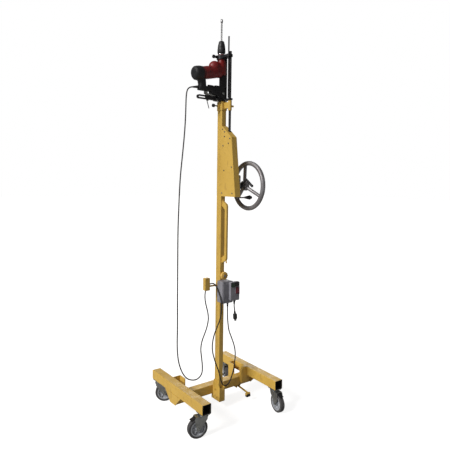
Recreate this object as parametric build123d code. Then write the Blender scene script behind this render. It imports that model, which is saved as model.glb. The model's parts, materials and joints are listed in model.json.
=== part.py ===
"""Overhead drill lift on casters: wheeled base, two-piece mast, hand-fed drill carriage.

Millimetres, +Z up. The origin is on the floor under the mast's axis, +X is the handwheel
side (the operator's right) and -Y is the front, where the feed casing and switch box are.
"""

import os
from math import cos, hypot, radians, sin, tan

from build123d import *

# ---------------------------------------------------------------- driving dimensions
# base
RAIL = 63.5                 # square tube of rails and cross tube
WALL = 3.2
RAIL_X = 296.4              # rail centre line from the mast axis
RAIL_FRONT = -290.5
RAIL_BACK = 354.0
RAIL_BOTTOM = 155.5
RAIL_TOP = RAIL_BOTTOM + RAIL
PLATE = 6.35                # welded bracket plate
CROSS_FRONT = 38.0
CROSS_BACK = CROSS_FRONT + RAIL
CROSS_TOP = RAIL_BOTTOM - PLATE
CROSS_BOTTOM = CROSS_TOP - RAIL
GUSSET_SPREAD = 68.0        # how far the end gussets flare beyond the cross tube

# casters
WHEEL_R = 63.5
WHEEL_W = 32.0
TRAIL = 38.0
CASTER_INSET = 38.0         # swivel axis from the rail's end
CASTERS = {                 # corner: (swivel x, swivel y, trail heading, has a brake)
    "front_left": (-RAIL_X, RAIL_FRONT + CASTER_INSET, 168.0, True),
    "front_right": (RAIL_X, RAIL_FRONT + CASTER_INSET, 262.0, True),
    "rear_left": (-RAIL_X, RAIL_BACK - CASTER_INSET, -33.0, False),
    "rear_right": (RAIL_X, RAIL_BACK - CASTER_INSET, 240.0, False),
}

# mast: 2 in by 1-3/8 in tube
MAST_Y = 50.8
MAST_X = 35.2
MAST_WALL = 3.0
FOOT_Z = 60.0
JOINT_Z = 987.0
MAST_TOP = 2086.0
SPIGOT_GAP = 0.3            # clearance between the spigot and the lower mast's bore
SPIGOT_BOTTOM = 150.0
SPIGOT_TOP = 1137.0
KNOB_Z = 937.0

# feed casing, handwheel and chain drive
CASING_X = 42.0
CASING_SKIN = 2.0
CASING_BOTTOM = 1470.0
CASING_TOP = 1928.0
SHAFT_Y = -140.0
SHAFT_Z = 1541.0
SHAFT_R = 9.0
BARREL_R = 12.5             # bearing barrel that the shaft turns in
WHEEL_RIM_R = 148.0
RIM_TUBE_R = 15.0
RIM_X = 120.0
GRIP_RADIUS = 130.0         # spinner grip's axis from the wheel's axis
GRIP_ANGLE = 218.6
GRIP_START = 181.0
GRIP_END = 235.0
HUB_X = 88.0
SPOKES = (103.0, -28.0, 219.0)
DRIVE_R = 22.0              # pitch radius of the drive sprocket
IDLER_R = 7.0
CHAIN_GAP = 2.0             # the chain's inner line clears the tooth tips
CHAIN_Y = SHAFT_Y + DRIVE_R + CHAIN_GAP
IDLER_Y = CHAIN_Y - IDLER_R - CHAIN_GAP
IDLER_Z = 1782.0
CHAIN_THICK = 5.0
CHAIN_WIDE = 8.0

# carriage
ROD_X = 5.0
ROD_Y = -80.0
ROD_R = 8.0
ROD_BOTTOM = 1541.0
ROD_TOP = 2394.0
DEPTH_X = -9.5
DEPTH_R = 4.75
DEPTH_TOP = 2484.0
BASE_BOTTOM = 2089.5
BASE_TOP = 2101.0
ARM_TOP = 2116.0
ARM_DEEP = 25.0
BACK_BAR_X = 25.5
DRILL_X = -6.0              # bit axis
DRILL_Y = 5.0
NOSE_BOTTOM = 2356.0
NOSE_TOP = 2380.0

# switch box
BOX_X0 = -39.0
BOX_X1 = 44.0
BOX_FRONT = -84.0
BOX_BOTTOM = 758.0
BOX_TOP = 905.0
COVER_T = 5.0

SWITCH_BOTTOM = 775.0
BOX_GLAND = (23.0, -60.0, BOX_BOTTOM, 724.0)            # x, y, top, lower end
SWITCH_GLAND = (48.0, -101.0, SWITCH_BOTTOM, 748.0)
NECK_R = 6.5

RUN = 0.05                  # radial clearance of a running fit

# cords: the drill's cord hangs left of the mast, loops under, climbs to the hook, drops past
# the switch box and loops back up into it
CORD_R = 4.0
UPPER_CORD = [
    (-224, 5, 2156), (-244, 5, 2153.2), (-263, 5, 2137), (-271, 5, 2107), (-273.5, 5, 2060),
    (-275, 6, 1970), (-283, 5, 1860), (-297, 4, 1735), (-310.5, 6, 1612), (-319, 5, 1490),
    (-324.5, 4, 1370), (-328, 6, 1250), (-329, 5, 1140),
]
LOWER_CORD = [
    (-329, 5, 1140), (-330, 4, 1030), (-329, 6, 915), (-331, 4, 805), (-329, 6, 700),
    (-330, 4, 609), (-331, 6, 535), (-330, 5, 464), (-321, 5, 390), (-296, 5, 318),
    (-259, 5, 264), (-212, 5, 241), (-173, 5, 238), (-138, 5, 263), (-132, 5, 308),
    (-140, 5, 378), (-150, 5, 441), (-140, 5, 499), (-105, 5, 567), (-86, 6, 633),
    (-90, 8, 682), (-104, 11, 735), (-111, 16, 779), (-106, 22, 821), (-92, 26, 859),
    (-66, 12, 883), (-54, -10, 883), (-50, -32, 863), (-49, -62, 823), (-49, -80, 795),
    (-49, -90, 765), (-46, -86, 715), (-45, -76, 665), (-60, -68, 612), (-78, -65, 576),
    (-95, -65, 532), (-104, -65, 480), (-100, -65, 432), (-87, -65, 388), (-68, -65, 337),
    (-48, -65, 290), (-35, -65, 246), (-26, -66, 208), (-5, -68, 174), (34, -65, 174),
    (54, -65, 204), (67, -65, 234), (79, -65, 267), (89, -65, 322), (93, -65, 371),
    (89, -65, 415), (75, -65, 461), (54, -65, 511), (35, -65, 553), (26, -65, 599),
    (23, -60, 661), (23, -60, 724),
]
SUPPLY_CORD = [(48, -101, 748), (48, -101, 731.5), (51.6, -101, 715.3), (53.3, -101, 698.9)]


# ---------------------------------------------------------------- small helpers
def block(x0, x1, y0, y1, z0, z1):
    """Box from its limits."""
    return Pos((x0 + x1) / 2, (y0 + y1) / 2, (z0 + z1) / 2) * Box(x1 - x0, y1 - y0, z1 - z0)


def rod(start, axis, radius, length):
    """Cylinder from a start point along an axis."""
    plane = Plane(origin=start, z_dir=axis)
    return plane * Cylinder(radius, length, align=(Align.CENTER, Align.CENTER, Align.MIN))


def cone(start, axis, r0, r1, length):
    """Truncated cone from a start point along an axis."""
    plane = Plane(origin=start, z_dir=axis)
    return plane * Cone(r0, r1, length, align=(Align.CENTER, Align.CENTER, Align.MIN))


def ring(start, axis, outer, inner, length):
    """Hollow cylinder."""
    return rod(start, axis, outer, length) - rod(start, axis, inner, length)


def prism_x(points, x0, x1):
    """Closed (y, z) outline extruded along X."""
    edge = Polyline(*[(x0, y, z) for y, z in points], close=True)
    return extrude(make_face(edge), amount=x1 - x0, dir=(1, 0, 0))


def prism_y(points, y0, y1):
    """Closed (x, z) outline extruded along Y."""
    edge = Polyline(*[(x, y0, z) for x, z in points], close=True)
    return extrude(make_face(edge), amount=y1 - y0, dir=(0, 1, 0))


def tube_y(x, z0, y0, y1, size, wall):
    """Square tube along Y, open at both ends."""
    half = size / 2
    outer = block(x - half, x + half, y0, y1, z0, z0 + size)
    bore = block(x - half + wall, x + half - wall, y0 - 1, y1 + 1, z0 + wall, z0 + size - wall)
    rounded = fillet(outer.edges().filter_by(Axis.Y), 4.0)
    return rounded - bore


def tube_z(size_x, size_y, wall, z0, z1, corner=3.0):
    """Rectangular tube along Z about the mast axis."""
    outer = block(-size_x / 2, size_x / 2, -size_y / 2, size_y / 2, z0, z1)
    inner_x = size_x / 2 - wall
    inner_y = size_y / 2 - wall
    bore = block(-inner_x, inner_x, -inner_y, inner_y, z0 - 1, z1 + 1)
    return fillet(outer.edges().filter_by(Axis.Z), corner) - bore


def hex_head(start, axis, flats, thick):
    """Hexagon bolt head or nut."""
    plane = Plane(origin=start, z_dir=axis)
    return extrude(plane * RegularPolygon(flats / 2 / cos(radians(30)), 6), amount=thick)


def group(*solids):
    """Several separate solids kept in one node."""
    return Compound(children=list(solids))


def mirror_x(shape):
    return mirror(shape, about=Plane.YZ)


# ---------------------------------------------------------------- base
def side_rails():
    left = tube_y(-RAIL_X, RAIL_BOTTOM, RAIL_FRONT, RAIL_BACK, RAIL, WALL)
    return group(left, mirror_x(left))


def cross_tube():
    reach = RAIL_X + RAIL / 2 - PLATE
    outer = block(-reach, reach, CROSS_FRONT, CROSS_BACK, CROSS_BOTTOM, CROSS_TOP)
    bore = block(-reach - 1, reach + 1, CROSS_FRONT + WALL, CROSS_BACK - WALL,
                 CROSS_BOTTOM + WALL, CROSS_TOP - WALL)
    return fillet(outer.edges().filter_by(Axis.X), 4.0) - bore


def rail_brackets():
    """Per rail: end gusset under its outer face, saddle pad, and an open stake pocket."""
    outer_face = RAIL_X + RAIL / 2
    inner_face = RAIL_X - RAIL / 2
    outline = [
        (CROSS_FRONT - GUSSET_SPREAD, RAIL_BOTTOM),
        (CROSS_FRONT, CROSS_BOTTOM),
        (CROSS_BACK, CROSS_BOTTOM),
        (CROSS_BACK + GUSSET_SPREAD, RAIL_BOTTOM),
    ]
    gusset = prism_x(outline, outer_face - PLATE, outer_face)
    pad = block(inner_face, outer_face - PLATE, CROSS_FRONT, CROSS_BACK, CROSS_TOP, RAIL_BOTTOM)
    pocket_x = inner_face - 56.0
    pocket_back = CROSS_BACK + 68.0
    low, high = 98.0, RAIL_TOP
    side = block(pocket_x, pocket_x + PLATE, CROSS_BACK, pocket_back, low, high)
    back = block(pocket_x + PLATE, inner_face, pocket_back - PLATE, pocket_back, low, high)
    pocket = side + back
    corners = pocket.edges().filter_by(Axis.Z).sort_by(Axis.Y)[-2:]
    pocket = fillet(corners.sort_by(Axis.X)[:1], 5.0)
    right = [gusset, pad, pocket]
    return group(*right, *[mirror_x(piece) for piece in right], *pedal_brackets())


def pedal_brackets():
    """Arched stop plate by the right rail and two lugs that carry the foot pedal."""
    inner_face = RAIL_X - RAIL / 2
    x0, x1 = inner_face - 48.0, inner_face
    y0 = CROSS_FRONT - 25.0
    body = block(x0, x1, y0, CROSS_FRONT, 110.0, 226.0)
    corner = body.edges().filter_by(Axis.Y).sort_by(Axis.Z)[-2:].sort_by(Axis.X)[:1]
    body = fillet(corner, 30.0)
    hollow = block(x0 + 5, x1 + 1, y0 + 5, CROSS_FRONT + 1, 109.0, 221.0)
    inner_corner = hollow.edges().filter_by(Axis.Y).sort_by(Axis.Z)[-2:].sort_by(Axis.X)[:1]
    arch = body - fillet(inner_corner, 25.0)
    lug = prism_x([(48, CROSS_BOTTOM), (92, CROSS_BOTTOM), (82, 58), (58, 58)], 204.0, 210.0)
    lug -= rod((203, 70, 72), (1, 0, 0), 5.0, 8)
    return [arch, lug, Pos(26, 0, 0) * lug]


def mast_foot():
    """Folded foot that hooks over the cross tube and holds the mast's lower end."""
    inside = MAST_X / 2
    outside = inside + 5.0
    front = -43.0
    cheek_outline = [
        (front, 54), (52, 54), (52, CROSS_BOTTOM), (CROSS_FRONT, CROSS_BOTTOM),
        (CROSS_FRONT, CROSS_TOP), (CROSS_FRONT - 1, 160), (27, 196), (-25, 176), (front, 152),
    ]
    cheek = prism_x(cheek_outline, -outside, -inside)
    floor = block(-inside, inside, front, 52, 54, FOOT_Z)
    face = block(-inside, inside, front, front + 5, FOOT_Z, 150)
    back = block(-inside, inside, MAST_Y / 2, CROSS_FRONT, FOOT_Z, 152)
    bolts = [hex_head((9, front, 140), (0, -1, 0), 10, 5)]
    for y, z in ((-12, 82), (12, 130)):
        bolts.append(hex_head((outside, y, z), (1, 0, 0), 13, 6))
        bolts.append(hex_head((-outside, y, z), (-1, 0, 0), 13, 6))
    return group(cheek + mirror_x(cheek) + floor + face + back, *bolts)


# ---------------------------------------------------------------- casters
def caster_plates():
    """Top plate with its bolts, upper race and kingpin of each caster: these don't swivel."""
    pieces = []
    for cx, cy, _, _ in CASTERS.values():
        plate = block(cx - 31, cx + 31, cy - CASTER_INSET, cy + CASTER_INSET, RAIL_BOTTOM - 4, RAIL_BOTTOM)
        plate = fillet(plate.edges().filter_by(Axis.Z), 6.0)
        race = cone((cx, cy, 145.0), (0, 0, 1), 24, 27, RAIL_BOTTOM - 4 - 145.0)
        pin = rod((cx, cy, 128.0), (0, 0, 1), 6.0, 18.0)
        nut = hex_head((cx, cy, 128.0), (0, 0, 1), 18, 7.0)
        pieces.append(plate + race + pin + nut)
        for dx in (-22, 22):
            for dy in (-30, 30):
                pieces.append(hex_head((cx + dx, cy + dy, RAIL_BOTTOM - 4), (0, 0, -1), 10, 5))
    return group(*pieces)


def place_caster(shape, cx, cy, heading):
    return Pos(cx, cy, 0) * Rot(0, 0, heading) * shape


def caster_fork():
    """Swivelling fork: crown with lower race, two legs and the axle bolt."""
    crown = block(-26, 54, -23, 23, 136.5, 141.0)
    race = rod((0, 0, 141.0), (0, 0, 1), 25.5, 3.7)
    leg_outline = [
        (-24, 141), (54, 141), (62, 128), (TRAIL + 14, WHEEL_R - 2), (TRAIL + 8, WHEEL_R - 12),
        (TRAIL - 8, WHEEL_R - 12), (TRAIL - 14, WHEEL_R - 2), (-20, 118),
    ]
    inner = WHEEL_W / 2 + 3.0
    leg = prism_y(leg_outline, inner, inner + 3.5)
    fork = crown + race + leg + mirror(leg, about=Plane.XZ)
    fork -= rod((0, 0, 130), (0, 0, 1), 6.0 + RUN, 20)
    axle = rod((TRAIL, -inner - 3.5, WHEEL_R), (0, 1, 0), 6.0, 2 * inner + 7)
    head = hex_head((TRAIL, -inner - 3.5, WHEEL_R), (0, -1, 0), 16, 6)
    nut = hex_head((TRAIL, inner + 3.5, WHEEL_R), (0, 1, 0), 16, 7)
    return fork + axle + head + nut


def caster_hub():
    """Wheel centre: rim, web and bored hub."""
    half = WHEEL_W / 2
    rim = ring((TRAIL, -half + 1, WHEEL_R), (0, 1, 0), 49.0, 42.0, WHEEL_W - 2)
    web = rod((TRAIL, -4, WHEEL_R), (0, 1, 0), 43.0, 8)
    core = rod((TRAIL, -half - 2, WHEEL_R), (0, 1, 0), 15.0, WHEEL_W + 4)
    bore = rod((TRAIL, -half - 3, WHEEL_R), (0, 1, 0), 6.0 + RUN, WHEEL_W + 6)
    return rim + web + core - bore


def caster_tread():
    """Rubber tread bonded round the wheel centre."""
    half = WHEEL_W / 2
    tread = rod((TRAIL, -half, WHEEL_R), (0, 1, 0), WHEEL_R, WHEEL_W)
    tread = fillet(tread.edges().filter_by(GeomType.CIRCLE), 5.0)
    return tread - rod((TRAIL, -half - 1, WHEEL_R), (0, 1, 0), 49.0, WHEEL_W + 2)


def brake_pedal():
    """Toe pedal that rocks on a barrel between the fork legs."""
    width = WHEEL_W / 2 + 2.4
    barrel = rod((46, -width, 131.5), (0, 1, 0), 4.0, 2 * width)
    outline = [(46, 133.5), (46, 129.5), (62, 127), (84, 118), (86, 121), (62, 132.5)]
    blade = prism_y(outline, -15, 15)
    return barrel + blade


# ---------------------------------------------------------------- pedal
def foot_pedal():
    """Pedal arm under the cross tube, with a cross bar at its end."""
    pin = rod((203, 70, 72), (1, 0, 0), 5.0 - RUN, 34)
    barrel = rod((210.4, 70, 72), (1, 0, 0), 9.0, 19.2)
    arm = rod((220, 70, 72), (0, -1, -0.10), 6.5, 132)
    bar = rod((196, -62, 58.8), (1, 0, 0), 9.0, 34)
    return pin + barrel + arm + bar


def pedal_pad():
    """Rubber boot round the underside of the pedal's cross bar."""
    boot = block(199, 227, -76, -50, 38, 58)
    boot = fillet(boot.edges().filter_by(Axis.X), 7.0)
    boot -= rod((190, -62, 58.8), (1, 0, 0), 9.0, 60)
    return boot - rod((220, 70, 72), (0, -1, -0.10), 6.5, 140)


# ---------------------------------------------------------------- mast
def lower_mast():
    """Lower mast tube with the threaded boss of the lock knob."""
    tube = tube_z(MAST_X, MAST_Y, MAST_WALL, FOOT_Z, JOINT_Z)
    boss = rod((0, -MAST_Y / 2, KNOB_Z), (0, -1, 0), 14.0, 11.0)
    screw_hole = rod((0, -MAST_Y / 2 + 6, KNOB_Z), (0, -1, 0), 5.0 + RUN, 20)
    return tube + boss - screw_hole


def mast_lock_knob():
    """Round knob and screw that clamp the inner mast."""
    stem = rod((0, -MAST_Y / 2 + MAST_WALL - 0.2, KNOB_Z), (0, -1, 0), 5.0, 16)
    head = rod((0, -MAST_Y / 2 - 11.4, KNOB_Z), (0, -1, 0), 26.0, 20)
    head = fillet(head.edges().filter_by(GeomType.CIRCLE), 5.0)
    return stem + head


def upper_mast():
    """Upper mast tube; it stands on the lower one."""
    return tube_z(MAST_X, MAST_Y, MAST_WALL, JOINT_Z, MAST_TOP)


def mast_spigot():
    """Inner tube fixed in the upper mast; it slides inside the lower mast."""
    size_x = MAST_X - 2 * MAST_WALL - 2 * SPIGOT_GAP
    size_y = MAST_Y - 2 * MAST_WALL - 2 * SPIGOT_GAP
    return tube_z(size_x, size_y, 2.5, SPIGOT_BOTTOM, SPIGOT_TOP, 1.5)


def grab_handle():
    """Flat bar handle on the mast's front face, chamfered at both ends."""
    face = -MAST_Y / 2
    front = face - 50.0
    inner = face - 29.0
    outline = [
        (face, 1021), (face, 1057), (inner, 1079), (inner, 1383), (face, 1405), (face, 1441),
        (front + 8, 1419), (front, 1405), (front, 1057), (front + 8, 1043),
    ]
    bar = prism_x(outline, -7.5, 7.5)
    bar = fillet(bar.edges().filter_by(Axis.Z), 2.0)
    return bar + rod((0, -66, 1048), (0, -0.3, -1), 4.5, 24)


# ---------------------------------------------------------------- feed casing
def casing_outline(skin):
    """Side outline of the feed casing in (y, z), drawn in by the skin's thickness."""
    return [
        (-MAST_Y / 2, CASING_BOTTOM + skin),
        (-183.0 + skin, CASING_BOTTOM + skin),
        (-136.0 + skin, 1849.0 - skin),
        (-33.0, CASING_TOP - 1.4 * skin),
        (-MAST_Y / 2, CASING_TOP - 1.4 * skin),
    ]


def feed_casing():
    """Sheet-metal casing round the chain drive, open towards the mast, with the idler's pin."""
    half = CASING_X / 2
    shell = prism_x(casing_outline(0.0), -half, half)
    shell -= prism_x(casing_outline(CASING_SKIN), -half + CASING_SKIN, half - CASING_SKIN)
    flange = block(-half, half, -MAST_Y / 2 - 2.0, -MAST_Y / 2, CASING_BOTTOM, CASING_TOP)
    window = block(-half + 6, half - 6, -40, -20, CASING_BOTTOM + 8, CASING_TOP - 8)
    shell += flange - window
    shell -= rod((ROD_X, ROD_Y, 1800), (0, 0, 1), ROD_R + 2.5, 200)
    shell -= rod((half - 5, SHAFT_Y, SHAFT_Z), (1, 0, 0), 13.0, 10)
    inside = half - CASING_SKIN
    shell += rod((-inside, IDLER_Y, IDLER_Z), (1, 0, 0), 4.0, 2 * inside)
    for start, way in ((-inside, 1), (inside, -1)):
        shell += rod((start, IDLER_Y, IDLER_Z), (way, 0, 0), 6.5, inside - 3.3)
    return shell


def casing_screws():
    pieces = []
    side = -CASING_X / 2
    spots = [(-40, 1906), (-62, 1888), (-62, 1858), (-120, 1842), (-104, 1812), (-48, 1800),
             (-40, 1492), (-150, 1492), (-60, 1640), (-140, 1660)]
    for y, z in spots:
        head = rod((side, y, z), (-1, 0, 0), 4.5, 2.6)
        pieces.append(head - block(side - 4, side - 1.6, y - 4, y + 4, z - 0.6, z + 0.6))
    return group(*pieces)


def shaft_bearing():
    """Flanged bearing block bolted to the casing's handwheel side."""
    side = CASING_X / 2
    plate = block(side, side + 7, SHAFT_Y - 34, SHAFT_Y + 40, SHAFT_Z - 68, SHAFT_Z + 68)
    plate = fillet(plate.edges().filter_by(Axis.X), 8.0)
    barrel = rod((side - 8, SHAFT_Y, SHAFT_Z), (1, 0, 0), BARREL_R, 49)
    bore = rod((side - 9, SHAFT_Y, SHAFT_Z), (1, 0, 0), SHAFT_R + RUN, 60)
    block_all = plate + barrel - bore
    for y in (SHAFT_Y - 24, SHAFT_Y + 30):
        for z in (SHAFT_Z - 56, SHAFT_Z + 56):
            block_all += hex_head((side + 7, y, z), (1, 0, 0), 10, 5)
    return block_all


def drive_chain():
    """Closed chain round the drive and idler sprockets, drawn as its envelope."""
    def loop(extra):
        big = Circle(DRIVE_R + CHAIN_GAP + extra)
        small = Circle(IDLER_R + CHAIN_GAP + extra)
        return make_hull([*(Pos(SHAFT_Y, SHAFT_Z) * big).edges(),
                          *(Pos(IDLER_Y, IDLER_Z) * small).edges()])

    plane = Plane(origin=(-CHAIN_WIDE / 2, 0, 0), x_dir=(0, 1, 0), z_dir=(1, 0, 0))
    band = extrude(plane * (loop(CHAIN_THICK) - loop(0)), amount=CHAIN_WIDE)
    return band


def sprocket(y, z, radius, teeth, bore, half):
    """Toothed disc in the YZ plane."""
    disc = rod((-half, y, z), (1, 0, 0), radius - 1.0, 2 * half)
    tooth = block(-half, half, -1.6, 1.6, radius - 2.5, radius + 1.2)
    for index in range(teeth):
        disc += Pos(0, y, z) * Rot(360.0 * index / teeth, 0, 0) * tooth
    return disc - rod((-half - 1, y, z), (1, 0, 0), bore, 2 * half + 2)


def idler_sprocket():
    return sprocket(IDLER_Y, IDLER_Z, IDLER_R, 8, 4.0 + RUN, 3.0)


def drive_shaft():
    """Handwheel shaft with its drive sprocket inside the casing."""
    shaft = rod((-10, SHAFT_Y, SHAFT_Z), (1, 0, 0), SHAFT_R, HUB_X + 22)
    return shaft + sprocket(SHAFT_Y, SHAFT_Z, DRIVE_R, 24, SHAFT_R - 0.5, 3.0)


def handwheel():
    """Dished three-spoke handwheel with the pin its spinner grip turns on."""
    hub = rod((HUB_X - 14, SHAFT_Y, SHAFT_Z), (1, 0, 0), 31.0, 30)
    rim_plane = Plane(origin=(RIM_X, SHAFT_Y, SHAFT_Z), z_dir=(1, 0, 0))
    wheel = rim_plane * Torus(WHEEL_RIM_R, RIM_TUBE_R)
    wheel += hub
    for angle in SPOKES:
        c, s = cos(radians(angle)), sin(radians(angle))
        start = (HUB_X + 4, SHAFT_Y - 18 * c, SHAFT_Z + 18 * s)
        end = (RIM_X, SHAFT_Y - WHEEL_RIM_R * c, SHAFT_Z + WHEEL_RIM_R * s)
        run = tuple(b - a for a, b in zip(start, end))
        wheel += rod(start, run, 11.0, hypot(*run))
    y, z = grip_axis()
    wheel += rod((RIM_X - 6, y, z), (1, 0, 0), 5.0, GRIP_END - 3.4 - RIM_X + 6)
    wheel += rod((GRIP_START - 6.4, y, z), (1, 0, 0), 7.5, 6.0)
    wheel += rod((GRIP_END - 3.6, y, z), (1, 0, 0), 8.0, 3.0)
    return wheel - rod((HUB_X - 15, SHAFT_Y, SHAFT_Z), (1, 0, 0), SHAFT_R, 40)


def grip_axis():
    turn = radians(GRIP_ANGLE)
    return SHAFT_Y - GRIP_RADIUS * cos(turn), SHAFT_Z + GRIP_RADIUS * sin(turn)


def spinner_grip():
    """Tapered grip at the outer end of the handwheel's pin."""
    y, z = grip_axis()
    body = GRIP_END - 4.0 - GRIP_START
    grip = cone((GRIP_START, y, z), (1, 0, 0), 8.5, 15.5, body - 14)
    grip += cone((GRIP_START + body - 14, y, z), (1, 0, 0), 15.5, 10.0, 14)
    return grip - rod((GRIP_START - 1, y, z), (1, 0, 0), 5.0 + RUN, body + 2)


def feed_lock_lever():
    """Cranked lever on the bearing barrel that clamps the shaft."""
    x = CASING_X / 2 + 29.0
    collar = rod((x, SHAFT_Y, SHAFT_Z), (1, 0, 0), 18.5, 11)
    elbow = (x + 5.5, SHAFT_Y - 60, SHAFT_Z + 41)
    run = (0, elbow[1] - SHAFT_Y + 8, elbow[2] - SHAFT_Z - 8)
    arm = rod((x + 5.5, SHAFT_Y - 8, SHAFT_Z + 8), run, 6.5, hypot(*run))
    knee = Pos(*elbow) * Sphere(7.0)
    blade = cone(elbow, (0, -61, -44), 7.0, 8.0, 68)
    tip = Pos(x + 5.5, SHAFT_Y - 116, SHAFT_Z + 1) * Sphere(9.0)
    lever = collar + arm + knee + blade + tip
    return lever - rod((x - 1, SHAFT_Y, SHAFT_Z), (1, 0, 0), BARREL_R + RUN, 20)


# ---------------------------------------------------------------- mast top
def top_collar():
    """Collar at the mast top with the guide sleeve of the feed rod."""
    half_x = MAST_X / 2
    half_y = MAST_Y / 2
    outer = block(-half_x - 3.5, half_x + 3.5, -half_y - 3.5, half_y + 3.5, 2030, MAST_TOP)
    outer = fillet(outer.edges().filter_by(Axis.Z), 4.0)
    bore = block(-half_x, half_x, -half_y, half_y, 2029, MAST_TOP + 1)
    arm = block(ROD_X - 9, ROD_X + 9, ROD_Y, -half_y - 3, 2040, 2078)
    sleeve = rod((ROD_X, ROD_Y, 2024), (0, 0, 1), 12.0, 62)
    bolt_side = hex_head((ROD_X + 11.5, ROD_Y, 2052), (1, 0, 0), 11, 16)
    bore_rod = rod((ROD_X, ROD_Y, 2020), (0, 0, 1), ROD_R + RUN, 80)
    lug = rod((-half_x - 3.5, 0, 2058), (-1, 0, 0), 9.0, 15)
    pad = block(half_x + 3.5, half_x + 9.5, -14, 14, 2044, 2072)
    bolt = hex_head((half_x + 9.5, 0, 2058), (1, 0, 0), 13, 6)
    screw_hole = rod((-half_x - 2.0, 0, 2058), (-1, 0, 0), 4.0 + RUN, 24)
    solid = outer - bore + arm + sleeve + lug + pad + bolt + bolt_side
    return solid - bore_rod - screw_hole


def knob_screw(tip, length, knob_r):
    """Thumb screw pointing +X: stem and lobed knob."""
    x, y, z = tip
    stem = rod((x, y, z), (-1, 0, 0), 4.0, length)
    knob = rod((x - length, y, z), (-1, 0, 0), knob_r, 14)
    knob = fillet(knob.edges().filter_by(GeomType.CIRCLE), 2.0)
    for index in range(6):
        turn = radians(60 * index)
        notch = rod((x - length + 1, y + (knob_r + 2) * cos(turn), z + (knob_r + 2) * sin(turn)),
                    (-1, 0, 0), 4.0, 16)
        knob -= notch
    return stem + knob


def collar_screw():
    return knob_screw((-MAST_X / 2 - 3.8, 0, 2058), 40.0, 11.0)


# ---------------------------------------------------------------- carriage
def feed_rod():
    """Round feed rod with the chain block at its lower end."""
    bar = rod((ROD_X, ROD_Y, ROD_BOTTOM), (0, 0, 1), ROD_R, ROD_TOP - ROD_BOTTOM)
    chain_face = CHAIN_Y + CHAIN_THICK + 0.3
    link = block(-9, 14, chain_face, ROD_Y + 10, ROD_BOTTOM + 4, ROD_BOTTOM + 32)
    return bar + link


def drill_cradle():
    """Cradle base on the mast top, its guide tube, slotted arm and back bar."""
    bar_end = BACK_BAR_X + 6
    ends = [(-64, BASE_TOP), (-50, BASE_BOTTOM), (bar_end - 8, BASE_BOTTOM), (bar_end, BASE_TOP)]
    base = prism_y(ends, -27, 27)
    guide = tube_z(24.0, 40.0, 2.5, 1640, BASE_BOTTOM, 1.5)
    tie = block(ROD_X - 12, ROD_X + 12, ROD_Y - 12, -27, BASE_BOTTOM, BASE_TOP)
    tie -= rod((ROD_X, ROD_Y, BASE_BOTTOM - 1), (0, 0, 1), ROD_R, 20)
    arm = block(-192, -50, DRILL_Y - 8, DRILL_Y + 8, ARM_TOP - ARM_DEEP, ARM_TOP)
    arm = fillet(arm.edges().filter_by(Axis.Y).sort_by(Axis.X)[:2], 12.0)
    slot = block(-184, -126, DRILL_Y - 9, DRILL_Y + 9, ARM_TOP - 17, ARM_TOP - 8)
    slot = fillet(slot.edges().filter_by(Axis.Y), 4.0)
    bolt_hole = rod((-112, DRILL_Y, ARM_TOP - ARM_DEEP - 1), (0, 0, 1), 4.3, ARM_DEEP + 2)
    back = block(BACK_BAR_X, bar_end, -10, 18, BASE_TOP, NOSE_TOP)
    return base + guide + tie + (arm - slot - bolt_hole) + back


def nose_bracket():
    """Clamp ring round the drill's nose, carried by the feed rod and the back bar."""
    hoop = rod((DRILL_X, DRILL_Y, NOSE_BOTTOM), (0, 0, 1), 31.0, NOSE_TOP - NOSE_BOTTOM)
    arm = block(-22, 18, ROD_Y - 12, DRILL_Y, NOSE_BOTTOM + 4, NOSE_TOP - 5)
    arm = fillet(arm.edges().filter_by(Axis.Z).sort_by(Axis.Y)[:2], 9.0)
    bore = rod((DRILL_X, DRILL_Y, NOSE_BOTTOM - 1), (0, 0, 1), 24.0, 40)
    rod_bore = rod((ROD_X, ROD_Y, NOSE_BOTTOM - 1), (0, 0, 1), ROD_R, 40)
    depth_bore = rod((DEPTH_X, ROD_Y, NOSE_BOTTOM - 1), (0, 0, 1), DEPTH_R + RUN, 40)
    boss = rod((DRILL_X - 29, DRILL_Y, 2368), (-1, 0, 0), 9.0, 14)
    screw_hole = rod((DRILL_X - 23, DRILL_Y, 2368), (-1, 0, 0), 4.0 + RUN, 26)
    lug = block(18, BACK_BAR_X, -10, 18, NOSE_BOTTOM, NOSE_TOP)
    return hoop + arm + boss + lug - bore - rod_bore - depth_bore - screw_hole


def nose_screw():
    return knob_screw((DRILL_X - 24.6, DRILL_Y, 2368), 28.5, 11.0)


def cradle_bolts():
    """Clamp bolts that hold the drill's handle to the slotted arm."""
    left = hex_head((-112, DRILL_Y, ARM_TOP), (0, 0, 1), 19, 10)
    stud = rod((-112, DRILL_Y, 2052), (0, 0, 1), 4.0, ARM_TOP - 2052)
    nut = hex_head((-112, DRILL_Y, ARM_TOP - ARM_DEEP), (0, 0, -1), 14, 7)
    right = hex_head((-2, DRILL_Y, BASE_TOP), (0, 0, 1), 19, 12)
    return group(left + stud + nut, right)


def depth_rod():
    """Depth stop rod that slides in the nose bracket."""
    bottom = BASE_TOP + 1.5
    return rod((DEPTH_X, ROD_Y, bottom), (0, 0, 1), DEPTH_R, DEPTH_TOP - bottom)


# ---------------------------------------------------------------- drill
def drill_gearbox():
    """Gear housing round the spindle."""
    housing = rod((DRILL_X, DRILL_Y, 2256), (0, 0, 1), 31.0, 78)
    neck = cone((DRILL_X, DRILL_Y, 2334), (0, 0, 1), 31.0, 25.0, 12)
    nose = rod((DRILL_X, DRILL_Y, 2346), (0, 0, 1), 23.6, 38)
    socket = rod((DRILL_X, DRILL_Y, 2340), (0, 0, 1), 10.0 + RUN, 60)
    return housing + neck + nose - socket


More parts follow.
